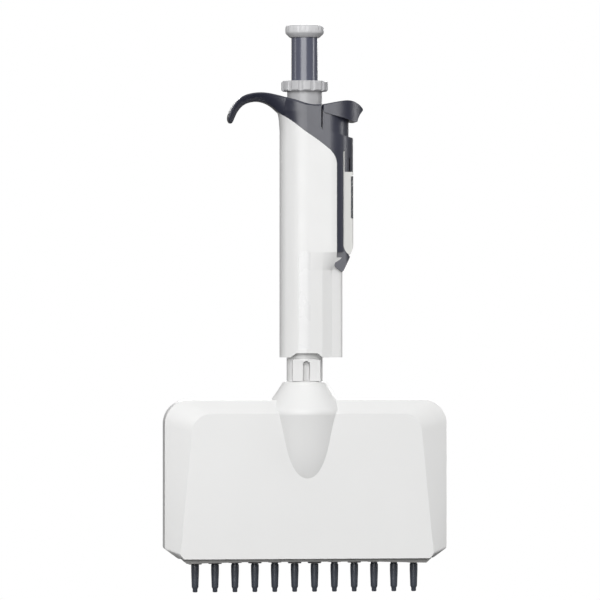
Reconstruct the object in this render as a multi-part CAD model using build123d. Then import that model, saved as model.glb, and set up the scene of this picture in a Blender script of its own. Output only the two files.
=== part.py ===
from build123d import *
import math
import os

# Twelve-channel pipette, millimetres, +Z up.
# Origin: on the main axis of the handle, in the plane of the nozzle ends.
# The nozzle row runs along X, the finger hook points to -X and the volume
# window and tip ejector are on the +X side.

# ---- driving dimensions -------------------------------------------------
CHANNELS = 12
PITCH = 9.0
NOZZLE_X = [PITCH * (i - (CHANNELS - 1) / 2) for i in range(CHANNELS)]

RUN = 0.05

# head shell
HEAD_HALF_WIDTH = 64.0
HEAD_BOTTOM = 15.5
HEAD_TOP = 86.6
HEAD_HALF_DEPTH = 13.0
HEAD_RIM_HALF_DEPTH = 7.0
HEAD_CORNER = 10.8
HEAD_WALL = 1.6
FACE_TOP = 80.5
FACE_TOP_HALF_WIDTH = 51.0
FACE_BOTTOM_HALF_WIDTH = 57.0
BOSS_TOP = 95.0
BOSS_TOP_R = 10.0

# neck
NECK_R = 8.1
NECK_BORE_R = 5.8
NECK_TOP = 105.2
NECK_JOURNAL_R = 7.0
NECK_JOURNAL_TOP = 112.0

# handle
HANDLE_BOTTOM = 105.7
HANDLE_R = 11.3
HANDLE_WALL = 1.6
HANDLE_INNER_R = HANDLE_R - HANDLE_WALL
STEP_X = 10.6
SPINE_LEFT = 13.5
SPINE_RIGHT = 16.6
BLOCK_RIGHT = 21.9
INSERT_RIGHT = 21.3
COUNTER_CAVITY_RIGHT = 19.9
COUNTER_HALF = 7.2
HANDLE_TOP = 219.3

# volume ring, plunger and counter
SLEEVE_R = 7.86
RING_R = 10.5
RING_BOTTOM = 225.5
RING_TOP = 230.1
PLUNGER_R = 5.97
BUTTON_BOTTOM = 249.7
ROD_R = 2.0
ROD_END = 106.1
COUNTER_X = 12.8
DRUM_R = 6.3
DRUM_H = 5.6
DRUM_Z = [168.8, 174.8, 180.8]
GEAR_TEETH = 20
GEAR_PITCH_R = COUNTER_X / 2
GEAR_BOTTOM = 189.2
GEAR_H = 3.2

# pistons
PISTON_R = 0.515
PISTON_BAR_BOTTOM = 56.0
PISTON_BAR_TOP = 62.0
CROSSHEAD_BOTTOM = 71.0


os.makedirs("parts", exist_ok=True)


def save(name, shape):
    """Write one named piece."""
    solids = shape.solids()
    export_step(Compound(solids) if len(solids) > 1 else solids[0], f"parts/{name}.step")


def cyl(r, z0, z1, x=0.0, y=0.0):
    """Vertical cylinder from z0 to z1."""
    return Pos(x, y, (z0 + z1) / 2) * Cylinder(r, z1 - z0)


def tube(r_out, r_in, z0, z1, x=0.0, y=0.0):
    """Vertical tube from z0 to z1."""
    return cyl(r_out, z0, z1, x, y) - cyl(r_in, z0 - 1, z1 + 1, x, y)


def block(x0, x1, y0, y1, z0, z1):
    """Box between two corners."""
    return Pos((x0 + x1) / 2, (y0 + y1) / 2, (z0 + z1) / 2) * Box(x1 - x0, y1 - y0, z1 - z0)


def front_profile(edges, y0, y1):
    """Closed outline drawn in X and Z, given depth from y0 to y1."""
    face = make_face(Plane.XZ * Curve(edges))
    return extrude(Pos(0, y1, 0) * face, y1 - y0, dir=(0, -1, 0))


def plan_profile(edges, z0, z1):
    """Closed outline drawn in X and Y, raised from z0 to z1."""
    return extrude(Pos(0, 0, z0) * make_face(Curve(edges)), z1 - z0)


def revolved(points):
    """Turned solid from radius and height points."""
    face = make_face(Plane.XZ * Polyline(*points, close=True))
    return revolve(face, Axis.Z)


def coil(radius, wire_r, z0, z1, turns):
    """Round-wire compression spring with its ends inside z0 and z1."""
    height = z1 - z0 - 2 * wire_r
    path = Helix(height / turns, height, radius)
    ring = Plane(origin=path @ 0, z_dir=path % 0) * Circle(wire_r)
    return Pos(0, 0, z0 + wire_r) * sweep(ring, path, is_frenet=True)


def gear(x, z0, z1, phase, bore_r):
    """Spur gear with straight-flanked teeth."""
    module = 2 * GEAR_PITCH_R / GEAR_TEETH
    root_r = GEAR_PITCH_R - 0.62
    tip_r = GEAR_PITCH_R + 0.45
    half_root = 0.62 * module
    half_tip = 0.26 * module
    blank = tube(root_r, bore_r, z0, z1)
    outline = Polyline((root_r - 0.3, -half_root), (tip_r, -half_tip), (tip_r, half_tip),
                       (root_r - 0.3, half_root), close=True)
    tooth = extrude(Pos(0, 0, z0) * make_face(outline), z1 - z0)
    teeth = [Rot(0, 0, phase + 360 * i / GEAR_TEETH) * tooth for i in range(GEAR_TEETH)]
    return Pos(x, 0, 0) * (blank + teeth)


# ---- head shell: two covers meeting on the plane Y = 0 ------------------
def head_wire(side, shoulder, bottom, top, chamfer_x, chamfer_z, corner, y):
    """Closed head outline with rounded top corners at depth y."""
    points = [(-chamfer_x, bottom), (chamfer_x, bottom), (side, chamfer_z), (shoulder, top),
              (-shoulder, top), (-side, chamfer_z)]
    radii = [1.0, 1.0, 1.5, corner, corner, 1.5]
    outline = FilletPolyline(*points, radius=radii, close=True)
    return Pos(0, y, 0) * (Plane.XZ * outline)


def head_block(inset, bottom):
    """Head volume, made smaller all round by inset."""
    side = HEAD_HALF_WIDTH - 0.4 - inset
    rim_y = HEAD_RIM_HALF_DEPTH - 0.6 * inset
    face_y = HEAD_HALF_DEPTH - inset
    rim = (side, side, bottom, HEAD_TOP - inset, side - 6.0, bottom + 4.4, HEAD_CORNER - inset)
    face_side = FACE_BOTTOM_HALF_WIDTH - 0.75 * inset
    face = (face_side, FACE_TOP_HALF_WIDTH - 0.75 * inset, bottom, FACE_TOP - 0.4 * inset,
            face_side - 1.6, bottom + 2.2, 8.5)
    middle = extrude(make_face(head_wire(*rim, rim_y)), 2 * rim_y, dir=(0, -1, 0))
    slopes = []
    for sign in (-1, 1):
        slopes.append(loft([make_face(head_wire(*rim, sign * rim_y)),
                            make_face(head_wire(*face, sign * face_y))], ruled=True))
    return middle + slopes


def boss_block(inset):
    """Turned swelling that carries the neck, tapering down into the head faces."""
    cone_top = (BOSS_TOP_R - inset, BOSS_TOP - inset)
    path = [
        Line((0, cone_top[1]), (BOSS_TOP_R - 1.5 - inset, cone_top[1])),
        ThreePointArc((BOSS_TOP_R - 1.5 - inset, cone_top[1]), (BOSS_TOP_R - 0.3 - inset, cone_top[1] - 0.45),
                      (BOSS_TOP_R + 0.35 - inset, BOSS_TOP - 1.5 - inset)),
        Line((BOSS_TOP_R + 0.35 - inset, BOSS_TOP - 1.5 - inset), (17.3 - inset, 83.2)),
        ThreePointArc((17.3 - inset, 83.2), (18.05 - inset, 81.5), (18.1 - inset, 79.8)),
        Spline((18.1 - inset, 79.8), (17.16 - inset, 73.8), (15.64 - inset, 62.6), (14.58 - inset, 57.0),
               (13.24 - inset, 52.2), (12.6 - inset, 50.4)),
        Line((12.6 - inset, 50.4), (0, 50.4)),
        Line((0, 50.4), (0, cone_top[1])),
    ]
    return Rot(0, 0, 60) * revolve(make_face(Plane.XZ * Curve(path)), Axis.Z)


SCREW_SPOTS = [(-30.0, 79.0), (30.0, 79.0), (-59.9, 66.0), (59.9, 66.0), (-59.9, 31.0), (59.9, 31.0)]
SCREW_POST_R = [3.0, 3.0, 2.2, 2.2, 2.2, 2.2]
SCREW_SEAT_Y = [9.4, 9.4, 6.4, 6.4, 6.4, 6.4]


def along_y(r, y0, y1, x, z):
    """Cylinder lying along Y."""
    return Pos(x, (y0 + y1) / 2, z) * (Rot(90, 0, 0) * Cylinder(r, y1 - y0))


def head_shell():
    outside = head_block(0.0, HEAD_BOTTOM) + boss_block(0.0)
    bar_slot = block(-56.7, 56.7, -11.4, 11.4, HEAD_BOTTOM - 1, 18.0)
    hollow = head_block(HEAD_WALL, HEAD_BOTTOM + 1.8) + boss_block(HEAD_WALL)
    hollow = hollow - block(-20, 20, -20, 20, 89.2, 96)
    neck_room = cyl(NECK_R + RUN, 86.0, 97.0) + cyl(9.35, 91.0, 93.4)
    shell = outside - hollow - bar_slot - neck_room
    for (x, z), r in zip(SCREW_SPOTS, SCREW_POST_R):
        shell = shell + (along_y(r, -12.0, 12.0, x, z) & outside)
    front = shell & block(-70, 70, -25, 0, 0, 100)
    back = shell & block(-70, 70, 0, 25, 0, 100)
    screws = []
    for (x, z), seat in zip(SCREW_SPOTS, SCREW_SEAT_Y):
        screw = along_y(1.0, -5.0, seat, x, z) + along_y(2.0, seat, seat + 1.6, x, z)
        screw = screw - (Pos(x, seat + 1.5, z) * Box(2.6, 1.0, 0.6))
        screws.append(screw)
        front = front - along_y(1.0, -5.0, 0.5, x, z)
        back = back - along_y(1.0, -0.5, seat, x, z) - along_y(2.2, seat, 14.0, x, z)
    return front, back, screws


head_front, head_back, head_screws = head_shell()
save("head_front_cover", head_front)
save("head_back_cover", head_back)
save("head_screws", Compound(head_screws))


# ---- nozzles, their carrier plates and seals ----------------------------
SHANK_R = 1.5


def nozzle():
    return revolved([
        (0.35, 0), (0.85, 0), (1.1, 0.3), (1.1, 1.6), (1.51, 2.4), (1.77, 9.15), (1.77, 12.4),
        (SHANK_R, 12.62), (SHANK_R, 19.5), (3.2, 19.5), (3.2, 21.5), (2.6, 21.5), (2.6, 39.0), (1.6, 39.0),
        (1.6, 36.5), (0.56, 36.5), (0.56, 6.0), (0.35, 6.0)])


LEG_X = 36.0
LEG_Y = 6.6


def leg_slots(z0, z1):
    """Slots that let the four ejector legs through a plate."""
    return [block(sx * LEG_X - 1.9, sx * LEG_X + 1.9, min(sy * 5.4, sy * 9), max(sy * 5.4, sy * 9), z0, z1)
            for sx in (-1, 1) for sy in (-1, 1)]


GUIDE_X = 55.0
GUIDE_R = 1.5

nozzle_plate = block(-56, 56, -8, 8, 17.5, 19.5) - leg_slots(17, 20)
clamp_plate = block(-58, 58, -8, 8, 21.5, 24.0) - leg_slots(21, 25)
for x in NOZZLE_X:
    nozzle_plate -= cyl(SHANK_R, 17, 20, x)
    clamp_plate -= cyl(2.6, 21, 25, x)
for x in (-GUIDE_X, GUIDE_X):
    clamp_plate -= cyl(GUIDE_R, 21, 25, x)
spacers = [tube(2.2, 1.0, 19.5, 21.5, x, y) for x in (-53.9, 53.9) for y in (-5.2, 5.2)]
save("nozzle_plate", nozzle_plate)
save("clamp_plate", clamp_plate)
save("plate_spacers", Compound(spacers))
save("nozzles", Compound([Pos(x, 0, 0) * nozzle() for x in NOZZLE_X]))
save("piston_seals", Compound([tube(1.6, PISTON_R + 0.02, 36.5, 38.6, x) for x in NOZZLE_X]))
save("seal_caps", Compound([tube(2.6, 0.9, 39.0, 40.0, x) for x in NOZZLE_X]))
save("guide_rods", Compound([cyl(GUIDE_R, 21.5, 77.0, x) for x in (-GUIDE_X, GUIDE_X)]))


# ---- pistons, moved by the plunger --------------------------------------
piston_bar = block(-57.0, 57.0, -4.5, 4.5, PISTON_BAR_BOTTOM, PISTON_BAR_TOP)
for x in NOZZLE_X:
    piston_bar -= cyl(PISTON_R, 55, 61, x)
    piston_bar -= cyl(1.5, 60, 63, x)
for x in (-GUIDE_X, GUIDE_X):
    piston_bar -= cyl(GUIDE_R + RUN, 55, 63, x)
thrust_rod = cyl(2.8, PISTON_BAR_TOP, 104.4) + cyl(4.3, 104.4, 106.0)
save("piston_bar", piston_bar)
save("pistons", Compound([cyl(PISTON_R, 22.0, 60.0, x) + cyl(1.5, 60.0, 61.2, x) for x in NOZZLE_X]))
save("thrust_rod", thrust_rod)
save("piston_springs", Compound([Pos(x, 0, 0) * coil(2.1, 0.35, 24.05, 55.95, 9) for x in (-GUIDE_X, GUIDE_X)]))


# ---- tip ejector inside the head ----------------------------------------
SLEEVE_OUT = 5.6
SLEEVE_IN = 4.6

ejector_sleeve = tube(SLEEVE_OUT, SLEEVE_IN, CROSSHEAD_BOTTOM, 112.8) + tube(8.6, SLEEVE_IN, 74.0, 75.6)
crosshead = block(-39, 39, -8, 8, CROSSHEAD_BOTTOM, 74.0) - cyl(SLEEVE_OUT, 70, 75)
for sign in (-1, 1):
    window = block(13, 32, -4.6, 4.6, 70, 75)
    crosshead -= window if sign > 0 else Rot(0, 0, 180) * window
legs = [block(sx * LEG_X - 1.5, sx * LEG_X + 1.5, min(sy * 5.8, sy * 7.4), max(sy * 5.8, sy * 7.4),
              17.2, CROSSHEAD_BOTTOM)
        for sx in (-1, 1) for sy in (-1, 1)]
save("ejector_sleeve", ejector_sleeve)
save("ejector_crosshead", crosshead)
save("ejector_legs", Compound(legs))

COLLAR_BOTTOMS = [12.6, 12.8, 13.2, 13.0, 13.3, 12.9, 12.9, 13.4, 13.1, 13.4, 13.4, 13.0]


def ejector_bar():
    outline = [
        Polyline((-54.0, 13.4), (-56.2, 15.5), (-56.2, 17.2), (56.2, 17.2), (56.2, 15.5), (54.0, 13.4),
                 (27.0, 14.05), (-27.0, 14.05), close=True),
    ]
    bar = front_profile(outline, -10.9, 10.9)
    for x, bottom in zip(NOZZLE_X, COLLAR_BOTTOMS):
        collar = revolved([(0, bottom), (3.0, bottom), (3.35, 15.5), (0, 15.5)])
        bar += Pos(x, 0, 0) * collar
    for x in NOZZLE_X:
        bar -= cyl(2.1, 10, 18, x)
    return bar


save("ejector_bar", ejector_bar())


# ---- neck ----------------------------------------------------------------
def neck_tube():
    neck = cyl(NECK_R, 80.0, NECK_TOP) + cyl(9.3, 91.1, 93.3) + cyl(NECK_JOURNAL_R, NECK_TOP, NECK_JOURNAL_TOP)
    for angle in (0, 180):
        panel = block(-6.2, 6.2, -8.7, 0, BOSS_TOP + 0.05, NECK_TOP - 0.6)
        neck += Rot(0, 0, angle) * panel
    neck -= cyl(NECK_BORE_R, 79, 113)
    neck -= tube(NECK_JOURNAL_R + 1, 6.5, 109.25, 110.35)
    slot = block(-1.6, 1.6, -10, -4, 88.0, 102.5) + along_y(1.6, -10, -4, 0, 102.5)
    for angle in (0, 180):
        neck -= Rot(0, 0, angle) * slot
    return neck


save("neck_tube", neck_tube())
save("neck_clip", tube(8.3, 6.5, 109.3, 110.3) - block(-2.0, 2.0, -10, 0, 109, 111))


# ---- handle outer shape ---------------------------------------------------
def stadium(r, z0, z1, right=STEP_X):
    """Upright volume with a rounded left and right end of radius r."""
    return cyl(r, z0, z1) + cyl(r, z0, z1, right) + block(0, right, -r, r, z0, z1)


def lower_section():
    """Plan outline of the lower grip: round at the left, a narrow rib at the right."""
    return [
        ThreePointArc((0, HANDLE_R), (-HANDLE_R, 0), (0, -HANDLE_R)),
        Line((0, -HANDLE_R), (7.0, -10.6)),
        ThreePointArc((7.0, -10.6), (9.6, -9.2), (11.6, -7.7)),
        Line((11.6, -7.7), (14.6, -7.0)),
        ThreePointArc((14.6, -7.0), (16.0, -6.2), (16.6, -4.8)),
        Line((16.6, -4.8), (16.6, 4.8)),
        ThreePointArc((16.6, 4.8), (16.0, 6.2), (14.6, 7.0)),
        Line((14.6, 7.0), (11.6, 7.7)),
        ThreePointArc((11.6, 7.7), (9.6, 9.2), (7.0, 10.6)),
        Line((7.0, 10.6), (0, HANDLE_R)),
    ]


def upper_section():
    """Plan outline of the upper grip where it meets the lower one."""
    edge_y = math.sqrt(HANDLE_R ** 2 - (SPINE_RIGHT - STEP_X) ** 2)
    mid_y = math.sqrt(HANDLE_R ** 2 - (15.2 - STEP_X) ** 2)
    top_y = math.sqrt(HANDLE_R ** 2 - (13.6 - STEP_X) ** 2)
    return [
        ThreePointArc((0, HANDLE_R), (-HANDLE_R, 0), (0, -HANDLE_R)),
        Line((0, -HANDLE_R), (7.0, -HANDLE_R)),
        ThreePointArc((7.0, -HANDLE_R), (10.6, -11.28), (13.4, -top_y - 0.05)),
        Line((13.4, -top_y - 0.05), (15.2, -mid_y)),
        ThreePointArc((15.2, -mid_y), (15.9, -(mid_y + edge_y) / 2 - 0.03), (SPINE_RIGHT, -edge_y)),
        Line((SPINE_RIGHT, -edge_y), (SPINE_RIGHT, edge_y)),
        ThreePointArc((SPINE_RIGHT, edge_y), (15.9, (mid_y + edge_y) / 2 + 0.03), (15.2, mid_y)),
        Line((15.2, mid_y), (13.4, top_y + 0.05)),
        ThreePointArc((13.4, top_y + 0.05), (10.6, 11.28), (7.0, HANDLE_R)),
        Line((7.0, HANDLE_R), (0, HANDLE_R)),
    ]


SCOOP_BOTTOM = 145.0
SCOOP_TOP = 153.0
SLIT_LEFT = 6.4
RIM = [(SLIT_LEFT, HANDLE_TOP), (SLIT_LEFT, 209.2), (6.9, 208.3), (8.0, 207.8), (19.5, 204.8), (24.0, 204.0)]
BOUNDARY = [(-12.6, 216.4), (-11.6, 215.4), (-9.3, 213.8), (-4.7, 210.4), (-1.5, 207.8), (4.5, 203.7),
            (8.6, 200.5), (10.0, 199.35), (11.9, 197.3)]
BOUNDARY_END = (SPINE_LEFT, 191.6)
FOOT = [(SPINE_LEFT, 150.6), (12.6, 147.2), (13.0, 146.2), (16.2, 144.2), (16.7, 144.6),
        (19.9, 150.9), (18.8, 152.2)]
HOOK_TOP = [(-33.6, 211.3), (-34.8, 213.6), (-33.8, 216.6), (-31.6, 220.2), (-28.5, 223.0), (-25.0, 224.3),
            (-20.6, 224.8), (-15.6, 224.3), (-11.0, 223.2), (-7.8, 222.3), (-4.1, 221.2), (-1.3, 220.2),
            (1.0, 219.6), (3.3, HANDLE_TOP)]


def handle_outside():
    lower = plan_profile(lower_section(), HANDLE_BOTTOM, SCOOP_BOTTOM)
    scoop = loft([Pos(0, 0, SCOOP_BOTTOM) * make_face(Curve(lower_section())),
                  Pos(0, 0, SCOOP_TOP) * make_face(Curve(upper_section()))], ruled=True)
    root = loft([root_section(left, z) for z, left in ROOT])
    upper = stadium(HANDLE_R, SCOOP_TOP, ROOT[0][0]) + root
    upper += stadium(HANDLE_R, ROOT[0][0], HANDLE_TOP) & block(SLIT_LEFT, 30, -20, 20, 200, 230)
    return lower, scoop, upper


def dark_region():
    """Volume right of and above the colour boundary, without the hook."""
    outline = [
        Spline(*BOUNDARY, tangents=[(1, -1), (1, -1.25)]),
        ThreePointArc(BOUNDARY[-1], (13.15, 194.75), BOUNDARY_END),
        Polyline(BOUNDARY_END, (SPINE_LEFT, 150.6), (SPINE_RIGHT, 150.6), (SPINE_RIGHT, 189.1), (24, 189.1),
                 *reversed(RIM), (-12.6, HANDLE_TOP), BOUNDARY[0]),
    ]
    return front_profile(outline, -20, 20)


ROOT = [(206.0, HANDLE_R), (209.5, 11.42), (212.5, 11.66), (214.8, 12.02), (216.4, 12.6)]
HOOK_SECTIONS = [
    ((-5.0, 221.3), (-6.0, 213.0), 8.6, 8.2), ((-8.4, 222.4), (-9.6, 214.6), 7.8, 6.4),
    ((-11.6, 223.35), (-12.6, 216.4), 7.3, 4.6), ((-15.6, 224.3), (-15.6, 218.9), 7.0, 4.1),
    ((-20.6, 224.8), (-20.6, 220.8), 6.9, 4.0), ((-25.0, 224.3), (-24.2, 220.6), 6.8, 4.0),
    ((-28.5, 223.0), (-27.0, 219.6), 6.6, 4.0), ((-31.6, 220.2), (-29.4, 217.7), 6.4, 4.0),
    ((-33.8, 216.6), (-31.2, 215.1), 6.1, 4.0), ((-34.75, 213.6), (-32.2, 212.8), 5.6, 3.8),
    ((-34.55, 212.0), (-32.75, 211.55), 4.9, 3.4), ((-34.0, 211.15), (-33.2, 210.95), 4.0, 3.0)]
EDGE_CHAMFER = 0.6


def root_section(left, z):
    """Plan of the upper grip: half an ellipse on the hook side, straight flanks on the other."""
    return Pos(0, 0, z) * make_face(Curve([
        EllipticalCenterArc((0, 0), left, HANDLE_R, start_angle=90, arc_size=180),
        Polyline((0, -HANDLE_R), (SLIT_LEFT, -HANDLE_R), (SLIT_LEFT, HANDLE_R), (0, HANDLE_R)),
    ]))


def hook_root():
    """Top of the handle under the hook, with its upper edges broken."""
    outline = [
        Spline(*HOOK_TOP[6:]),
        Polyline(HOOK_TOP[-1], (SLIT_LEFT, HANDLE_TOP), (SLIT_LEFT, 216.4), (-20.6, 216.4), HOOK_TOP[6]),
    ]
    column = extrude(root_section(ROOT[-1][1], ROOT[-1][0]), 12.0, dir=(0, 0, 1))
    top = column & front_profile(outline, -12, 12)
    upper_edges = [e for e in top.edges() if e.center().Z > HANDLE_TOP - 0.5 and abs(e.center().Y) > 1
                   and abs(e.center().X - SLIT_LEFT) > 0.01]
    return chamfer(upper_edges, EDGE_CHAMFER)


def hook_section(top, under, half_top, half_under):
    """Slice across the hook: wide and chamfered on top, drawn in towards the underside."""
    height = math.hypot(top[0] - under[0], top[1] - under[1])
    up = ((top[0] - under[0]) / height, (top[1] - under[1]) / height)
    edge = min(EDGE_CHAMFER, 0.25 * height)
    half_mid = half_under + 0.72 * (half_top - half_under)

    def at(t, y):
        return (under[0] + up[0] * t, y, under[1] + up[1] * t)

    return Face(Wire([
        Spline(at(0, -half_under), at(0.5 * height, -half_mid), at(height - edge, -half_top)),
        Line(at(height - edge, -half_top), at(height, edge - half_top)),
        Line(at(height, edge - half_top), at(height, half_top - edge)),
        Line(at(height, half_top - edge), at(height - edge, half_top)),
        Spline(at(height - edge, half_top), at(0.5 * height, half_mid), at(0, half_under)),
        Line(at(0, half_under), at(0, -half_under)),
    ]))


def handle_pieces():
    lower, scoop, upper = handle_outside()
    dark = dark_region()
    foot = front_profile([Polyline((SPINE_RIGHT, 156.5), (SPINE_LEFT, 156.5), *FOOT),
                          ThreePointArc((18.8, 152.2), (17.4, 153.9), (SPINE_RIGHT, 156.5))], -8.9, 8.9)
    grip_room = cyl(HANDLE_INNER_R, 109.2, 210.0)
    counter_room = block(0, COUNTER_CAVITY_RIGHT, -COUNTER_HALF, COUNTER_HALF, 162.9, 195.2)
    yoke_room = stadium(HANDLE_INNER_R, 194.0, 208.4) & front_profile(
        [Polyline((-10, 195.2), (24, 195.2), (24, 206), (6.6, 208.4), (-10, 208.4), close=True)], -20, 20)

    white = lower + scoop + (upper & block(-20, SPINE_RIGHT, -20, 20, 140, 230))
    white -= dark
    white -= block(SLIT_LEFT - 0.1, 30, -20, 20, 203.0, 230)
    white -= front_profile([Polyline((-12.6, 216.4), (-9.3, 213.8), (-9.3, 225), (-12.6, 225), close=True)],
                           -20, 20)
    white -= foot
    white -= grip_room + cyl(HANDLE_INNER_R, 205, 225)
    white -= yoke_room
    white -= counter_room
    white -= cyl(NECK_JOURNAL_R + RUN, 100, 110)
    notch = front_profile([Polyline((-7.2, 105.0), (-7.2, HANDLE_BOTTOM), (-4.8, 107.6), (4.8, 107.6),
                                    (7.2, HANDLE_BOTTOM), (7.2, 105.0), close=True)], -20, 20)
    white -= notch
    white -= cyl(NECK_R + 0.1, 100, 107.6)
    label_room = front_profile([FilletPolyline((-4.0, 109.7), (1.6, 109.7), (1.6, 153.8), (-4.0, 153.8),
                                               radius=[0.6, 0.6, 1.4, 1.4], close=True)], -20, -11.0 + 0.45)
    label = label_room & cyl(HANDLE_R - 0.12, 100, 160)
    white -= label_room

    housing = upper & dark
    housing += foot & (stadium(HANDLE_R, 140, 160) & block(0, 24, -8.9, 8.9, 140, 160))
    housing += hook_root() + loft([hook_section(*slice_) for slice_ in HOOK_SECTIONS])
    housing -= yoke_room
    housing -= cyl(HANDLE_INNER_R, 190, 208.4)
    housing -= counter_room
    stem_hole = (stadium(9.55, 200, 212) & block(6.8, 24, -20, 20, 200, 212)) - cyl(9.25, 199, 213)
    housing -= stem_hole
    housing += tube(9.2, SLEEVE_R + 0.09, 208.4, HANDLE_TOP - 0.5)
    housing -= cyl(SLEEVE_R + 0.09, 200, 230)
    for sign in (-1, 1):
        slit = block(SPINE_RIGHT - 0.05, SPINE_RIGHT + 0.65, min(sign * 7.4, sign * 14),
                     max(sign * 7.4, sign * 14), 189.0, 198.6)
        housing -= slit
    return white, label, housing


handle_shell, label_strip, upper_housing = handle_pieces()
save("handle_shell", handle_shell)
save("label_strip", label_strip)
save("upper_housing", upper_housing)


# ---- volume window ---------------------------------------------------------
INSERT_BOTTOM = 151.6
INSERT_TOP = 189.1
LENS_BOTTOM = 168.2
LENS_TOP = 187.1
LENS_LEFT = 20.1


def window_pieces():
    side = front_profile([
        Polyline((SPINE_RIGHT, INSERT_TOP), (SPINE_RIGHT, 156.5)),
        ThreePointArc((SPINE_RIGHT, 156.5), (17.4, 153.9), (18.8, 152.2)),
        Polyline((18.8, 152.2), (19.4, INSERT_BOTTOM + 0.2), (20.0, 152.4)),
        ThreePointArc((20.0, 152.4), (21.0, 154.8), (INSERT_RIGHT, 157.6)),
        Polyline((INSERT_RIGHT, 157.6), (INSERT_RIGHT, INSERT_TOP), (SPINE_RIGHT, INSERT_TOP)),
    ], -12, 12)
    plan = plan_profile([
        Polyline((20.1, -8.0), (SPINE_RIGHT - 1, -9.2), (SPINE_RIGHT - 1, 9.2), (20.1, 8.0)),
        ThreePointArc((20.1, 8.0), (21.0, 7.6), (INSERT_RIGHT, 6.8)),
        Line((INSERT_RIGHT, 6.8), (INSERT_RIGHT, -6.8)),
        ThreePointArc((INSERT_RIGHT, -6.8), (21.0, -7.6), (20.1, -8.0)),
    ], 150, 190)
    whole = side & plan
    lens = whole & block(LENS_LEFT, 30, -20, 20, LENS_BOTTOM, LENS_TOP)
    insert = whole - block(LENS_LEFT, 30, -20, 20, LENS_BOTTOM, LENS_TOP)
    insert -= block(0, COUNTER_CAVITY_RIGHT, -COUNTER_HALF, COUNTER_HALF, 162.9, 190)
    insert -= block(COUNTER_CAVITY_RIGHT - 1, LENS_LEFT, -5.2, 5.2, LENS_BOTTOM + 1.0, LENS_TOP - 1.0)
    insert -= block(20.7, 30, -20, 20, LENS_TOP + 0.1, LENS_TOP + 0.7)
    for sign in (-1, 1):
        tongue = block(SPINE_RIGHT, SPINE_RIGHT + 0.6, min(sign * 7.5, sign * 8.6), max(sign * 7.5, sign * 8.6),
                       INSERT_TOP - 0.5, 198.5)
        insert += tongue
    return insert, lens


window_insert, window_lens = window_pieces()
save("window_insert", window_insert)
save("window_lens", window_lens)


# ---- chassis inside the handle ---------------------------------------------
def chassis():
    inside = cyl(HANDLE_INNER_R, 150, 210) + block(0, COUNTER_CAVITY_RIGHT, -7.1, 7.1, 150, 210)
    inside = inside & block(-12, COUNTER_CAVITY_RIGHT - 0.6, -7.1, 7.1, 150, 210)
    frame = inside & block(-12, 24, -12, 12, 163.2, 166.2)
    frame += inside & block(-12, 24, -12, 12, 193.2, 195.2)
    frame += inside & block(-12, -7.1, -4, 4, 163.2, 195.2)
    frame -= block(-8.8, -6.0, -1.6, 1.6, 166.2, 193.2)
    frame -= cyl(3.0, 160, 170) + cyl(4.95, 190, 200)
    frame -= cyl(1.55, 160, 200, COUNTER_X)
    return frame


save("chassis", chassis())

rod_bush = cyl(HANDLE_INNER_R, 133.0, 136.0) & block(-12, 12, -6, 6, 130, 140)
save("guide_bush", rod_bush - cyl(ROD_R + RUN, 130, 140))
save("swivel_bush", tube(NECK_R, NECK_JOURNAL_R + RUN, NECK_TOP + 0.1, 107.6))
save("spring_seat", tube(HANDLE_INNER_R, 6.2, 112.3, 113.3))
save("blowout_spring", coil(5.2, 0.45, 136.05, 145.5, 4))


# ---- volume ring, screw, nut and number drums ------------------------------
def volume_ring():
    ring = cyl(RING_R, RING_BOTTOM, RING_TOP)
    ring = chamfer(ring.edges().filter_by(GeomType.CIRCLE), 0.55)
    flutes = [cyl(1.75, RING_BOTTOM - 1, RING_TOP + 1, 11.7 * math.cos(math.radians(a)),
                  11.7 * math.sin(math.radians(a))) for a in range(15, 375, 30)]
    ring -= flutes
    sleeve = cyl(SLEEVE_R, 195.4, RING_BOTTOM)
    return ring + sleeve - cyl(PLUNGER_R + 0.08, 196.6, 240) - cyl(2.3, 190, 240)


save("volume_ring", volume_ring())

screw = cyl(2.95, 163.5, 167.0) + cyl(4.4, 167.0, GEAR_BOTTOM) + cyl(4.9, GEAR_BOTTOM + GEAR_H, 195.4)
screw = screw + gear(0, GEAR_BOTTOM, GEAR_BOTTOM + GEAR_H, 0, 2.3) - cyl(2.3, 160, 200)
save("volume_screw", screw)

stop_nut = tube(6.0, 4.48, 178.0, 185.0) + (block(-8.6, -5.0, -1.5, 1.5, 178.0, 185.0) - cyl(4.48, 170, 190))
save("stop_nut", stop_nut)

save("counter_gear", gear(COUNTER_X, GEAR_BOTTOM, GEAR_BOTTOM + GEAR_H, 180 / GEAR_TEETH, 1.5))
save("counter_shaft", cyl(1.5, 163.4, 195.0, COUNTER_X))
for drum_name, z, bore in zip(("tenths_drum", "units_drum", "tens_drum"), DRUM_Z, (1.5, 1.56, 1.56)):
    drum = tube(DRUM_R, bore, z, z + DRUM_H, COUNTER_X)
    drum -= tube(DRUM_R + 1, DRUM_R - 0.25, z + DRUM_H - 0.5, z + DRUM_H + 1, COUNTER_X)
    save(drum_name, drum)


# ---- plunger ----------------------------------------------------------------
def push_button():
    cap = revolve(make_face(Plane.XZ * Curve([
        Polyline((2.5, 256.0), (0, 256.0), (0, BUTTON_BOTTOM), (6.7, BUTTON_BOTTOM), (8.5, 251.5), (8.7, 252.1),
                 (8.7, 254.0)),
        ThreePointArc((8.7, 254.0), (8.3, 255.0), (7.3, 255.4)),
        ThreePointArc((7.3, 255.4), (5.0, 255.86), (2.5, 256.0)),
    ])), Axis.Z)
    return cap - cyl(ROD_R, 240, 253.0)


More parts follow.
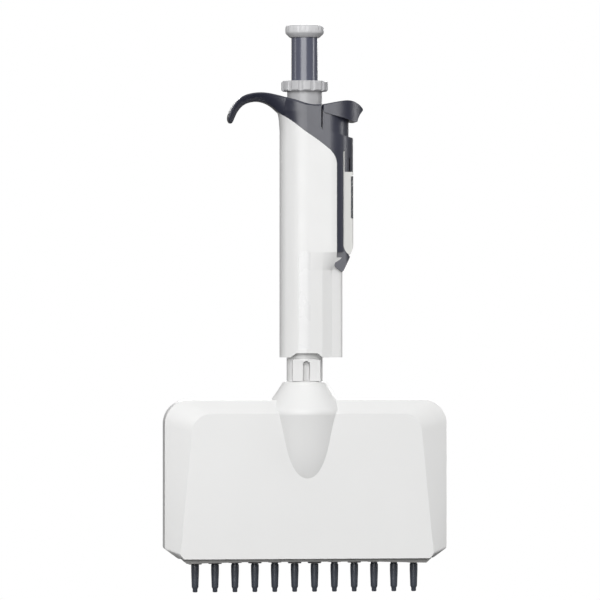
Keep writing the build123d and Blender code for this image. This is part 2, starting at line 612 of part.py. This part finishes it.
save("push_button", push_button())
save("plunger_sleeve", cyl(PLUNGER_R, 212.0, BUTTON_BOTTOM) - cyl(ROD_R, 200, 260)
     - tube(5.0, 3.2, 211, BUTTON_BOTTOM - 3))
save("plunger_rod", cyl(ROD_R, ROD_END, 253.0) - tube(3, ROD_R - 0.3, 161.0, 162.0))
save("rod_clip", tube(5.7, ROD_R - 0.3, 161.0, 162.0) - block(0, 8, -1.2, 1.2, 160, 163))
save("plunger_spring", coil(3.4, 0.5, 136.05, 160.9, 7))


# ---- ejector button and yoke in the handle -----------------------------------
PAD_HALF = 10.5


def ejector_button():
    side = front_profile([
        Spline((7.2, 219.4), (11.5, 220.2), (15.4, 220.9), (18.9, 221.2), (21.4, 220.8), (23.8, 219.6),
               (26.2, 217.4)),
        ThreePointArc((26.2, 217.4), (26.32, 217.2), (26.2, 216.95)),
        Spline((26.2, 216.95), (24.4, 214.7), (23.2, 211.7)),
        Spline((23.2, 211.7), (22.4, 211.6), (18.6, 212.7), (13.9, 214.1), (9.3, 215.4)),
        ThreePointArc((9.3, 215.4), (8.0, 216.1), (7.2, 217.3)),
        Line((7.2, 217.3), (7.2, 219.4)),
    ], -PAD_HALF, PAD_HALF)
    ends = side.faces().filter_by(Axis.Y).edges()
    side = chamfer([e for e in ends if e.center().Z > 219 or e.center().X < 7.3], 0.45)
    plan = plan_profile([
        Polyline((12.0, PAD_HALF), (5.0, PAD_HALF), (5.0, -PAD_HALF), (12.0, -PAD_HALF)),
        Spline((12.0, -PAD_HALF), (19.6, -9.5), (24.4, -6.0), (26.4, 0), tangents=[(1, 0), (0, 1)]),
        Spline((26.4, 0), (24.4, 6.0), (19.6, 9.5), (12.0, PAD_HALF), tangents=[(0, 1), (-1, 0)]),
    ], 205, 225)
    return (side & plan) - cyl(9.5, 200, 230)


def ejector_stem():
    stem = (stadium(9.3, 204.4, 218.0) & block(7.2, 24, -20, 20, 200, 218)) - cyl(9.55, 200, 220)
    under_pad = front_profile([
        Polyline((5, 203), (24, 203), (24, 211.8), (23.2, 211.9), (13.9, 214.3), (9.3, 215.6), (8.0, 216.3),
                 (7.3, 217.5), (5, 217.5), close=True)], -12, 12)
    return stem & under_pad


pad = ejector_button()
save("ejector_button", pad)
save("ejector_stem", ejector_stem() - pad)


def ejector_yoke():
    plate = stadium(9.3, 202.6, 204.4) & block(-1.8, 24, -20, 20, 200, 205)
    plate -= cyl(SLEEVE_R + 0.34, 200, 205)
    yoke = plate + tube(9.4, 2.6, 128.0, 130.5) + tube(SLEEVE_OUT, SLEEVE_IN, 113.1, 128.0)
    for sign in (-1, 1):
        yoke += block(-1.8, 1.8, min(sign * 8.2, sign * 9.3), max(sign * 8.2, sign * 9.3), 130.5, 203.5)
    return yoke


save("ejector_yoke", ejector_yoke())
save("ejector_spring", coil(7.6, 0.45, 113.35, 127.95, 4))
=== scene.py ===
import math

import bpy
import bmesh
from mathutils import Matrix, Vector


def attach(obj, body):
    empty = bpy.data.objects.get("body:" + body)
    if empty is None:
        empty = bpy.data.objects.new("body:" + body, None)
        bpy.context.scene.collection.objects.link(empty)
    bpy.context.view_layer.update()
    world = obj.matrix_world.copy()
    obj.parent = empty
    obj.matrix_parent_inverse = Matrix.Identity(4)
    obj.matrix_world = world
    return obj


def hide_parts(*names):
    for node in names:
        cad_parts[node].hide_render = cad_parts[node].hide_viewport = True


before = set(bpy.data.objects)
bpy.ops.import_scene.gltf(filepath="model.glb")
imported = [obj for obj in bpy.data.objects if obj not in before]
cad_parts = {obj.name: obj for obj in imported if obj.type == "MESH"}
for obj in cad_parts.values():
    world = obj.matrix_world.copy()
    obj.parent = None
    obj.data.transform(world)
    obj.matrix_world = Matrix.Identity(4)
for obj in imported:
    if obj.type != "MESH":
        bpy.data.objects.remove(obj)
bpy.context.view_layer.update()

# ---------------------------------------------------------------------------
# Studio: a long lens looking level at the pipette, a little from the hook side,
# in a white room that is dark below, with large soft lights. The grey floor
# shows white to the camera and throws little light up onto the undersides.
# ---------------------------------------------------------------------------
scene = bpy.context.scene
scene.view_settings.view_transform = "Standard"
scene.view_settings.look = "None"

CAMERA_AZIMUTH = math.radians(-5.6)
CAMERA_DISTANCE = 2.1
FRAME_WIDTH = 0.2705
SENSOR_WIDTH = 36.0
LEFT_OF_AXIS = 0.00207
LOOK_AT = Vector((-LEFT_OF_AXIS * math.cos(CAMERA_AZIMUTH), -LEFT_OF_AXIS * math.sin(CAMERA_AZIMUTH), 0.1315))

camera_data = bpy.data.cameras.new("camera")
camera_data.sensor_width = SENSOR_WIDTH
camera_data.lens = SENSOR_WIDTH * CAMERA_DISTANCE / FRAME_WIDTH
camera_data.clip_end = 20.0
camera = bpy.data.objects.new("camera", camera_data)
camera_side = Vector((math.sin(CAMERA_AZIMUTH), -math.cos(CAMERA_AZIMUTH), 0))
camera.location = LOOK_AT + CAMERA_DISTANCE * camera_side
camera.rotation_euler = (LOOK_AT - camera.location).to_track_quat("-Z", "Y").to_euler()
scene.collection.objects.link(camera)
scene.camera = camera

world = bpy.data.worlds.new("white_room")
scene.world = world
world.use_nodes = True
world_nodes = world.node_tree.nodes
world_links = world.node_tree.links
room = world_nodes["Background"]
room.inputs["Strength"].default_value = 0.36
direction = world_nodes.new("ShaderNodeTexCoord")
height = world_nodes.new("ShaderNodeSeparateXYZ")
sky = world_nodes.new("ShaderNodeValToRGB")
sky.color_ramp.elements[0].position = 0.42
sky.color_ramp.elements[0].color = (0.03, 0.03, 0.03, 1)
sky.color_ramp.elements[1].position = 0.62
sky.color_ramp.elements[1].color = (1.0, 1.0, 1.0, 1)
raised = world_nodes.new("ShaderNodeMapRange")
raised.inputs["From Min"].default_value = -1.0
world_links.new(direction.outputs["Generated"], height.inputs["Vector"])
world_links.new(height.outputs["Z"], raised.inputs["Value"])
world_links.new(raised.outputs["Result"], sky.inputs["Fac"])
world_links.new(sky.outputs["Color"], room.inputs["Color"])
seen_room = world_nodes.new("ShaderNodeBackground")
seen_room.inputs["Color"].default_value = (1.0, 1.0, 1.0, 1.0)
seen_room.inputs["Strength"].default_value = 1.0
which_ray = world_nodes.new("ShaderNodeLightPath")
room_mix = world_nodes.new("ShaderNodeMixShader")
world_links.new(which_ray.outputs["Is Camera Ray"], room_mix.inputs["Fac"])
world_links.new(room.outputs["Background"], room_mix.inputs[1])
world_links.new(seen_room.outputs["Background"], room_mix.inputs[2])
world_links.new(room_mix.outputs["Shader"], world_nodes["World Output"].inputs["Surface"])


MIDDLE = Vector((0.0, 0.0, 0.13))


def soft_light(name, place, width, height, power):
    """One rectangular softbox aimed at the middle of the pipette."""
    data = bpy.data.lights.new(name, "AREA")
    data.shape = "RECTANGLE"
    data.size = width
    data.size_y = height
    data.energy = power
    lamp = bpy.data.objects.new(name, data)
    lamp.location = place
    lamp.rotation_euler = (MIDDLE - place).to_track_quat("-Z", "Y").to_euler()
    scene.collection.objects.link(lamp)


def around(azimuth, elevation, distance):
    """Point at a distance from the middle; azimuth 0 is straight in front, positive to the right."""
    a = math.radians(azimuth)
    e = math.radians(elevation)
    return MIDDLE + distance * Vector((math.cos(e) * math.sin(a), -math.cos(e) * math.cos(a), math.sin(e)))


soft_light("front_softbox", around(-14, 18, 1.8), 1.6, 1.4, 33.5)
soft_light("top_softbox", around(-10, 72, 1.5), 0.9, 0.7, 2.0)
soft_light("left_strip", around(-95, 5, 1.4), 0.25, 1.2, 2.5)
soft_light("right_strip", around(80, 5, 1.4), 0.25, 1.2, 5.0)
soft_light("back_softbox", around(165, 25, 1.8), 1.2, 1.2, 24.0)

FLOOR_Z = -0.035
FLOOR_HALF = 4.0
floor_mesh = bpy.data.meshes.new("studio_floor")
floor_corners = [(x * FLOOR_HALF, y * FLOOR_HALF, FLOOR_Z) for x, y in ((-1, -1), (1, -1), (1, 1), (-1, 1))]
floor_mesh.from_pydata(floor_corners, [], [(0, 1, 2, 3)])
studio_floor = bpy.data.objects.new("studio_floor", floor_mesh)
scene.collection.objects.link(studio_floor)
floor_paint = bpy.data.materials.new("floor_paper")
floor_paint.use_nodes = True
floor_nodes = floor_paint.node_tree.nodes
floor_links = floor_paint.node_tree.links
floor_shader = floor_nodes["Principled BSDF"]
floor_shader.inputs["Base Color"].default_value = (0.08, 0.08, 0.08, 1)
floor_shader.inputs["Roughness"].default_value = 0.9
floor_glow = floor_nodes.new("ShaderNodeEmission")
floor_glow.inputs["Strength"].default_value = 1.0
floor_ray = floor_nodes.new("ShaderNodeLightPath")
floor_mix = floor_nodes.new("ShaderNodeMixShader")
floor_links.new(floor_ray.outputs["Is Camera Ray"], floor_mix.inputs["Fac"])
floor_links.new(floor_shader.outputs["BSDF"], floor_mix.inputs[1])
floor_links.new(floor_glow.outputs["Emission"], floor_mix.inputs[2])
floor_links.new(floor_mix.outputs["Shader"], floor_nodes["Material Output"].inputs["Surface"])
floor_mesh.materials.append(floor_paint)


# ---------------------------------------------------------------------------
# Head covers: two white injection-moulded shells, front and back, that meet on
# a thin parting line. Satin ABS with a very fine spark-eroded grain.
# ---------------------------------------------------------------------------
GRAIN_HEIGHT = 0.00004


def moulded(name, colour, roughness, grain_size, grain_depth, tone=0.03, gloss_coat=0.0,
            coat_roughness=0.3, edge_highlight_strength=0.0):
    """Moulded polymer: fine grain, slow tone drift, uneven gloss and, when asked, a painted highlight that
    lightens convex edges.
    """
    material = bpy.data.materials.new(name)
    material.use_nodes = True
    nodes = material.node_tree.nodes
    links = material.node_tree.links
    shader = nodes["Principled BSDF"]
    shader.inputs["IOR"].default_value = 1.5
    if gloss_coat:
        shader.inputs["Coat Weight"].default_value = gloss_coat
        shader.inputs["Coat Roughness"].default_value = coat_roughness
    place = nodes.new("ShaderNodeTexCoord")

    drift = nodes.new("ShaderNodeTexNoise")
    drift.inputs["Scale"].default_value = 22.0
    drift.inputs["Detail"].default_value = 3.0
    links.new(place.outputs["Object"], drift.inputs["Vector"])
    tones = nodes.new("ShaderNodeValToRGB")
    dark = [max(0.0, c * (1.0 - tone)) for c in colour]
    light = [min(1.0, c * (1.0 + tone)) for c in colour]
    tones.color_ramp.elements[0].position = 0.35
    tones.color_ramp.elements[0].color = (*dark, 1)
    tones.color_ramp.elements[1].position = 0.65
    tones.color_ramp.elements[1].color = (*light, 1)
    links.new(drift.outputs["Fac"], tones.inputs["Fac"])
    last_colour = tones.outputs["Color"]
    # Painted highlight: convex edges, found by pointiness, get a lighter base colour that stands in for the
    # light caught on the chamfers.
    if edge_highlight_strength:
        edges = nodes.new("ShaderNodeNewGeometry")
        highlight_band = nodes.new("ShaderNodeMapRange")
        highlight_band.inputs["From Min"].default_value = 0.53
        highlight_band.inputs["From Max"].default_value = 0.62
        highlight_band.inputs["To Max"].default_value = edge_highlight_strength
        links.new(edges.outputs["Pointiness"], highlight_band.inputs["Value"])
        painted_edge_highlight = nodes.new("ShaderNodeMixRGB")
        painted_edge_highlight.inputs["Color2"].default_value = (*[min(1.0, c * 1.9 + 0.05) for c in colour], 1)
        links.new(highlight_band.outputs["Result"], painted_edge_highlight.inputs["Fac"])
        links.new(last_colour, painted_edge_highlight.inputs["Color1"])
        last_colour = painted_edge_highlight.outputs["Color"]
    links.new(last_colour, shader.inputs["Base Color"])

    handling = nodes.new("ShaderNodeTexNoise")
    handling.inputs["Scale"].default_value = 90.0
    handling.inputs["Detail"].default_value = 5.0
    links.new(place.outputs["Object"], handling.inputs["Vector"])
    gloss = nodes.new("ShaderNodeMapRange")
    gloss.inputs["From Min"].default_value = 0.3
    gloss.inputs["From Max"].default_value = 0.7
    gloss.inputs["To Min"].default_value = roughness - 0.05
    gloss.inputs["To Max"].default_value = roughness + 0.06
    links.new(handling.outputs["Fac"], gloss.inputs["Value"])
    links.new(gloss.outputs["Result"], shader.inputs["Roughness"])

    grain = nodes.new("ShaderNodeTexNoise")
    grain.inputs["Scale"].default_value = 1.0 / grain_size
    grain.inputs["Detail"].default_value = 2.0
    links.new(place.outputs["Object"], grain.inputs["Vector"])
    bump = nodes.new("ShaderNodeBump")
    bump.inputs["Strength"].default_value = grain_depth
    bump.inputs["Distance"].default_value = GRAIN_HEIGHT
    links.new(grain.outputs["Fac"], bump.inputs["Height"])
    links.new(bump.outputs["Normal"], shader.inputs["Normal"])
    return material


def finish_node(node, material):
    """Give a moulded or machined piece its one material."""
    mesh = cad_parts[node].data
    mesh.materials.clear()
    mesh.materials.append(material)


white_abs = moulded("white_satin_abs", (0.735, 0.735, 0.73), 0.42, 0.00035, 0.25, tone=0.01)
for cover in ("head_front_cover", "head_back_cover"):
    finish_node(cover, white_abs)

# ---------------------------------------------------------------------------
# Nozzles: polished blue-black polymer cones, one for each tip, with a straight
# sealing land above the taper and a stepped end.
# ---------------------------------------------------------------------------
SHARP_EDGE = math.radians(40)


def plain_radius(r, z, angle):
    """Radius of an unfluted turned surface."""
    return r


def turned(name, profile, centres, steps, material, radius_at=plain_radius):
    """Lathe-turned solid from (radius, height) pairs in millimetres, repeated at each centre along X."""
    build = bmesh.new()
    for centre in centres:
        rows = []
        for r, z in profile:
            if r == 0.0:
                rows.append([build.verts.new((centre / 1000, 0, z / 1000))])
                continue
            row = []
            for k in range(steps):
                angle = 2 * math.pi * k / steps
                reach = radius_at(r, z, angle)
                row.append(build.verts.new(((centre + reach * math.cos(angle)) / 1000,
                                            reach * math.sin(angle) / 1000, z / 1000)))
            rows.append(row)
        for low, high in zip(rows, rows[1:]):
            for k in range(steps):
                nxt = (k + 1) % steps
                if len(low) == 1:
                    build.faces.new((low[0], high[nxt], high[k]))
                elif len(high) == 1:
                    build.faces.new((low[k], low[nxt], high[0]))
                else:
                    build.faces.new((low[k], low[nxt], high[nxt], high[k]))
    for face in build.faces:
        face.smooth = True
    mesh = bpy.data.meshes.new(name)
    build.to_mesh(mesh)
    build.free()
    mesh.materials.append(material)
    piece = bpy.data.objects.new(name, mesh)
    scene.collection.objects.link(piece)
    mesh.set_sharp_from_angle(angle=SHARP_EDGE)
    return piece


NOZZLES = 12
NOZZLE_PITCH = 9.0
NOZZLE_STEPS = 48
NOZZLE_CENTRES = [NOZZLE_PITCH * (k - (NOZZLES - 1) / 2) for k in range(NOZZLES)]
nozzle_polymer = moulded("nozzle_polymer", (0.046, 0.053, 0.068), 0.30, 0.0002, 0.10, tone=0.08,
                         gloss_coat=0.5, coat_roughness=0.25)
NOZZLE_OUTSIDE = [(0.0, 5.8), (0.35, 5.8), (0.35, 0.06), (0.41, 0.0), (0.79, 0.0), (0.85, 0.06),
                  (1.04, 0.22), (1.10, 0.34), (1.10, 1.52), (1.16, 1.66), (1.51, 2.34), (1.535, 2.5),
                  (1.64, 5.6), (1.765, 9.1), (1.78, 9.3), (1.78, 12.36), (1.5, 12.62), (1.5, 19.5),
                  (3.2, 19.5), (3.2, 21.5), (2.6, 21.5), (2.6, 39.0), (0.0, 39.0)]
nozzles = turned("turned_nozzles", NOZZLE_OUTSIDE, NOZZLE_CENTRES, NOZZLE_STEPS, nozzle_polymer)
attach(nozzles, "head")
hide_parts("nozzles")

# ---------------------------------------------------------------------------
# Ejector bar: warm grey satin polymer with a collar round every nozzle.
# ---------------------------------------------------------------------------
bar_polymer = moulded("ejector_bar_polymer", (0.20, 0.197, 0.19), 0.38, 0.0003, 0.2, tone=0.02)
finish_node("ejector_bar", bar_polymer)

# ---------------------------------------------------------------------------
# Neck, swivel bush and ejector sleeve: white moulded tubes that turn in the handle.
# ---------------------------------------------------------------------------
neck_abs = moulded("neck_white_abs", (0.70, 0.70, 0.695), 0.36, 0.0003, 0.2, tone=0.01)
for node in ("neck_tube", "swivel_bush", "ejector_sleeve"):
    finish_node(node, neck_abs)

# ---------------------------------------------------------------------------
# Grip: the white handle shell with its recessed strip, and the white insert
# that frames the volume window.
# ---------------------------------------------------------------------------
grip_abs = moulded("grip_white_abs", (0.735, 0.735, 0.73), 0.34, 0.0003, 0.2, tone=0.01)
finish_node("handle_shell", grip_abs)
finish_node("window_insert", moulded("insert_white_abs", (0.68, 0.68, 0.66), 0.36, 0.0003, 0.2, tone=0.01))
finish_node("label_strip", moulded("label_film", (0.735, 0.735, 0.735), 0.28, 0.0005, 0.05, tone=0.006))

# ---------------------------------------------------------------------------
# Upper housing: blue-grey moulding with the finger hook, the spine and the
# foot; the ejector button and stem are moulded in the same polymer.
# ---------------------------------------------------------------------------
# The housing's convex edges carry a painted highlight.
housing_abs = moulded("blue_grey_abs", (0.016, 0.018, 0.034), 0.40, 0.0003, 0.3, tone=0.05,
                      gloss_coat=0.8, edge_highlight_strength=0.12)
for node in ("upper_housing", "ejector_button", "ejector_stem"):
    finish_node(node, housing_abs)

# ---------------------------------------------------------------------------
# Volume ring and push button: light grey satin mouldings. The button is paler,
# with shallow flutes round its rim for the thumb.
# ---------------------------------------------------------------------------
# The ring's convex edges carry a painted highlight.
ring_polymer = moulded("ring_grey_polymer", (0.42, 0.42, 0.43), 0.36, 0.0003, 0.3, tone=0.03, edge_highlight_strength=0.2)
finish_node("volume_ring", ring_polymer)

BUTTON_RINGS = [(0.0, 249.70), (2.2, 249.70), (6.6, 249.70), (6.85, 249.86), (8.28, 251.26),
                (8.56, 251.62), (8.69, 252.10), (8.70, 253.10), (8.68, 254.00), (8.58, 254.55),
                (8.30, 255.00), (7.85, 255.26), (7.30, 255.42), (6.00, 255.68), (4.40, 255.88),
                (2.50, 255.97), (0.0, 256.0)]
BUTTON_STEPS = 144
BUTTON_FLUTES = 16
FLUTE_DEPTH = 0.26
RIM_MIDDLE = 253.7
RIM_HALF_HEIGHT = 1.9
RIM_INNER = 6.5


def button_radius(r, z, angle):
    """Radius of the button, drawn in by shallow thumb flutes around its rim."""
    rim = max(0.0, 1.0 - abs(z - RIM_MIDDLE) / RIM_HALF_HEIGHT) if r > RIM_INNER else 0.0
    dip = max(0.0, math.cos(BUTTON_FLUTES * angle)) ** 2
    return r - FLUTE_DEPTH * rim * dip


# The button's convex edges carry a painted highlight.
button_polymer = moulded("button_grey_polymer", (0.56, 0.56, 0.57), 0.36, 0.0003, 0.3, tone=0.03, edge_highlight_strength=0.2)
push_button = turned("fluted_push_button", BUTTON_RINGS, [0.0], BUTTON_STEPS, button_polymer,
                     button_radius)
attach(push_button, "plunger")
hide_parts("push_button")

# ---------------------------------------------------------------------------
# Plunger sleeve: a glossy blue-grey tube between the ring and the button.
# ---------------------------------------------------------------------------
plunger_polymer = moulded("plunger_gloss_polymer", (0.085, 0.09, 0.125), 0.22, 0.0005, 0.05,
                          tone=0.03, gloss_coat=0.5, coat_roughness=0.2)
SLEEVE_STEPS = 96
SLEEVE_OUTSIDE = [(0.0, 212.0), (5.6, 212.0), (5.97, 212.4), (5.97, 230.0), (5.97, 249.6), (5.0, 249.69),
                  (0.0, 249.69)]
plunger_sleeve = turned("plunger_tube", SLEEVE_OUTSIDE, [0.0], SLEEVE_STEPS, plunger_polymer)
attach(plunger_sleeve, "plunger")
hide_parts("plunger_sleeve")

# ---------------------------------------------------------------------------
# Window lens: smoked clear polymer over the number drums. Its back face is
# printed black at both sides, so that one digit of each drum shows through the
# clear slot down the middle.
# ---------------------------------------------------------------------------
smoked = bpy.data.materials.new("smoked_lens")
smoked.use_nodes = True
smoked_shader = smoked.node_tree.nodes["Principled BSDF"]
smoked_shader.inputs["Base Color"].default_value = (0.55, 0.56, 0.60, 1)
smoked_links = smoked.node_tree.links
lens_place = smoked.node_tree.nodes.new("ShaderNodeTexCoord")
lens_haze = smoked.node_tree.nodes.new("ShaderNodeTexNoise")
lens_haze.inputs["Scale"].default_value = 160.0
lens_haze.inputs["Detail"].default_value = 4.0
lens_gloss = smoked.node_tree.nodes.new("ShaderNodeMapRange")
lens_gloss.inputs["To Min"].default_value = 0.03
lens_gloss.inputs["To Max"].default_value = 0.11
smoked_links.new(lens_place.outputs["Object"], lens_haze.inputs["Vector"])
smoked_links.new(lens_haze.outputs["Fac"], lens_gloss.inputs["Value"])
smoked_links.new(lens_gloss.outputs["Result"], smoked_shader.inputs["Roughness"])
smoked_shader.inputs["Transmission Weight"].default_value = 0.9
smoked_shader.inputs["IOR"].default_value = 1.49
finish_node("window_lens", smoked)

SURROUND_X = (0.01995, 0.02005)
SURROUND_HEIGHTS = (0.1692, 0.1861)
CLEAR_HALF_WIDTH = 0.0021
SURROUND_HALF_WIDTH = 0.0052
surround_mesh = bpy.data.meshes.new("lens_surround")
surround_build = bmesh.new()
for side in (-1, 1):
    strip = bmesh.ops.create_cube(surround_build, size=1.0)["verts"]
    for corner in strip:
        corner.co = (SURROUND_X[corner.co.x > 0],
                     side * (SURROUND_HALF_WIDTH if corner.co.y > 0 else CLEAR_HALF_WIDTH),
                     SURROUND_HEIGHTS[corner.co.z > 0])
bmesh.ops.recalc_face_normals(surround_build, faces=surround_build.faces[:])
surround_build.to_mesh(surround_mesh)
surround_build.free()
surround_mesh.materials.append(moulded("surround_ink", (0.012, 0.012, 0.013), 0.5, 0.0003, 0.1, tone=0.05))
lens_surround = bpy.data.objects.new("lens_surround", surround_mesh)
scene.collection.objects.link(lens_surround)
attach(lens_surround, "handle")

# ---------------------------------------------------------------------------
# Inner mechanism: ground steel, drawn spring wire, turned brass, anodised
# aluminium plates, grey polymer chassis and stop nut, and black number drums.
# ---------------------------------------------------------------------------
def metal(name, colour, roughness, line_scale):
    """Machined metal with fine turning lines along Z."""
    material = bpy.data.materials.new(name)
    material.use_nodes = True
    nodes = material.node_tree.nodes
    links = material.node_tree.links
    shader = nodes["Principled BSDF"]
    shader.inputs["Base Color"].default_value = (*colour, 1)
    shader.inputs["Metallic"].default_value = 1.0
    place = nodes.new("ShaderNodeTexCoord")
    stretch = nodes.new("ShaderNodeMapping")
    stretch.inputs["Scale"].default_value = (1.0, 1.0, line_scale)
    links.new(place.outputs["Object"], stretch.inputs["Vector"])
    lines = nodes.new("ShaderNodeTexNoise")
    lines.inputs["Scale"].default_value = 120.0
    lines.inputs["Detail"].default_value = 4.0
    links.new(stretch.outputs["Vector"], lines.inputs["Vector"])
    gloss = nodes.new("ShaderNodeMapRange")
    gloss.inputs["To Min"].default_value = roughness - 0.08
    gloss.inputs["To Max"].default_value = roughness + 0.12
    links.new(lines.outputs["Fac"], gloss.inputs["Value"])
    links.new(gloss.outputs["Result"], shader.inputs["Roughness"])
    return material


ground_steel = metal("ground_steel", (0.60, 0.60, 0.61), 0.28, 12.0)
spring_wire = metal("spring_wire", (0.46, 0.46, 0.48), 0.35, 3.0)
turned_brass = metal("turned_brass", (0.66, 0.50, 0.24), 0.30, 14.0)
anodised = metal("anodised_aluminium", (0.70, 0.71, 0.72), 0.40, 5.0)
chassis_polymer = moulded("chassis_polymer", (0.12, 0.125, 0.135), 0.5, 0.0004, 0.3, tone=0.06)
drum_polymer = moulded("drum_polymer", (0.02, 0.02, 0.022), 0.45, 0.0003, 0.2, tone=0.05)
for node in ("plunger_rod", "counter_shaft", "guide_rods", "pistons", "thrust_rod", "ejector_legs",
             "head_screws"):
    finish_node(node, ground_steel)
for node in ("plunger_spring", "blowout_spring", "ejector_spring", "piston_springs", "rod_clip",
             "neck_clip"):
    finish_node(node, spring_wire)
finish_node("volume_screw", turned_brass)
for node in ("nozzle_plate", "clamp_plate", "plate_spacers", "piston_bar", "ejector_crosshead"):
    finish_node(node, anodised)
for node in ("chassis", "guide_bush", "spring_seat", "stop_nut", "counter_gear", "ejector_yoke",
             "seal_caps"):
    finish_node(node, chassis_polymer)
for node in ("tenths_drum", "units_drum", "tens_drum"):
    finish_node(node, drum_polymer)

# ---------------------------------------------------------------------------
# Numerals on the three drums: white printed digits, 0 to 9 round each drum,
# that come up behind the lens as the volume is turned.
# ---------------------------------------------------------------------------
numeral_ink = moulded("numeral_ink", (0.80, 0.80, 0.78), 0.5, 0.0003, 0.1, tone=0.03)
DRUM_AXLE_X = 0.0128
NUMERAL_RADIUS = 0.00633
NUMERAL_HEIGHT = 0.0040
DIGIT_SHARE_OF_SIZE = 0.70
DRUM_HALF_HEIGHT = 0.0028
DIGIT_TURN = 36.0
SLICE = 0.0003
digit_meshes = []
for digit in range(10):
    text = bpy.data.curves.new(f"digit_{digit}", "FONT")
    text.body = str(digit)
    text.size = NUMERAL_HEIGHT / DIGIT_SHARE_OF_SIZE
    text.align_x = "CENTER"
    text.resolution_u = 6
    flat = bpy.data.objects.new(f"digit_{digit}", text)
    scene.collection.objects.link(flat)
    bpy.context.view_layer.update()
    cut = bmesh.new()
    graph = bpy.context.evaluated_depsgraph_get()
    digit_shape = bpy.data.meshes.new_from_object(flat.evaluated_get(graph))
    cut.from_mesh(digit_shape)
    bpy.data.objects.remove(flat)
    for k in range(-8, 9):
        bmesh.ops.bisect_plane(cut, geom=cut.verts[:] + cut.edges[:] + cut.faces[:], dist=1e-7,
                               plane_co=(k * SLICE, 0, 0), plane_no=(1, 0, 0))
    bmesh.ops.triangulate(cut, faces=cut.faces[:])
    cut.to_mesh(digit_shape)
    cut.free()
    digit_meshes.append(digit_shape)


def drum_numerals(name, body, low, first):
    """One drum's ten digits wrapped on its wall; first is the digit that faces the window at rest."""
    wrapped = bmesh.new()
    middle = low + DRUM_HALF_HEIGHT
    for digit, shape in enumerate(digit_meshes):
        tall = [v.co.y for v in shape.vertices]
        half = (max(tall) + min(tall)) / 2
        turn = math.radians(DIGIT_TURN * (digit - first))
        part = bmesh.new()
        part.from_mesh(shape)
        for v in part.verts:
            angle = turn + v.co.x / NUMERAL_RADIUS
            v.co = (DRUM_AXLE_X + NUMERAL_RADIUS * math.cos(angle), NUMERAL_RADIUS * math.sin(angle),
                    middle + v.co.y - half)
        piece_mesh = bpy.data.meshes.new("digit_wrapped")
        part.to_mesh(piece_mesh)
        part.free()
        wrapped.from_mesh(piece_mesh)
        bpy.data.meshes.remove(piece_mesh)
    mesh = bpy.data.meshes.new(name)
    wrapped.to_mesh(mesh)
    wrapped.free()
    mesh.materials.append(numeral_ink)
    numerals = bpy.data.objects.new(name, mesh)
    scene.collection.objects.link(numerals)
    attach(numerals, body)


drum_numerals("tenths_numerals", "tenths_counter", 0.1688, 0)
drum_numerals("units_numerals", "units_counter", 0.1748, 0)
drum_numerals("tens_numerals", "tens_counter", 0.1808, 1)

# ---------------------------------------------------------------------------
# Piston seals: black moulded rubber.
# ---------------------------------------------------------------------------
finish_node("piston_seals", moulded("seal_rubber", (0.015, 0.015, 0.015), 0.6, 0.0002, 0.3, tone=0.1))
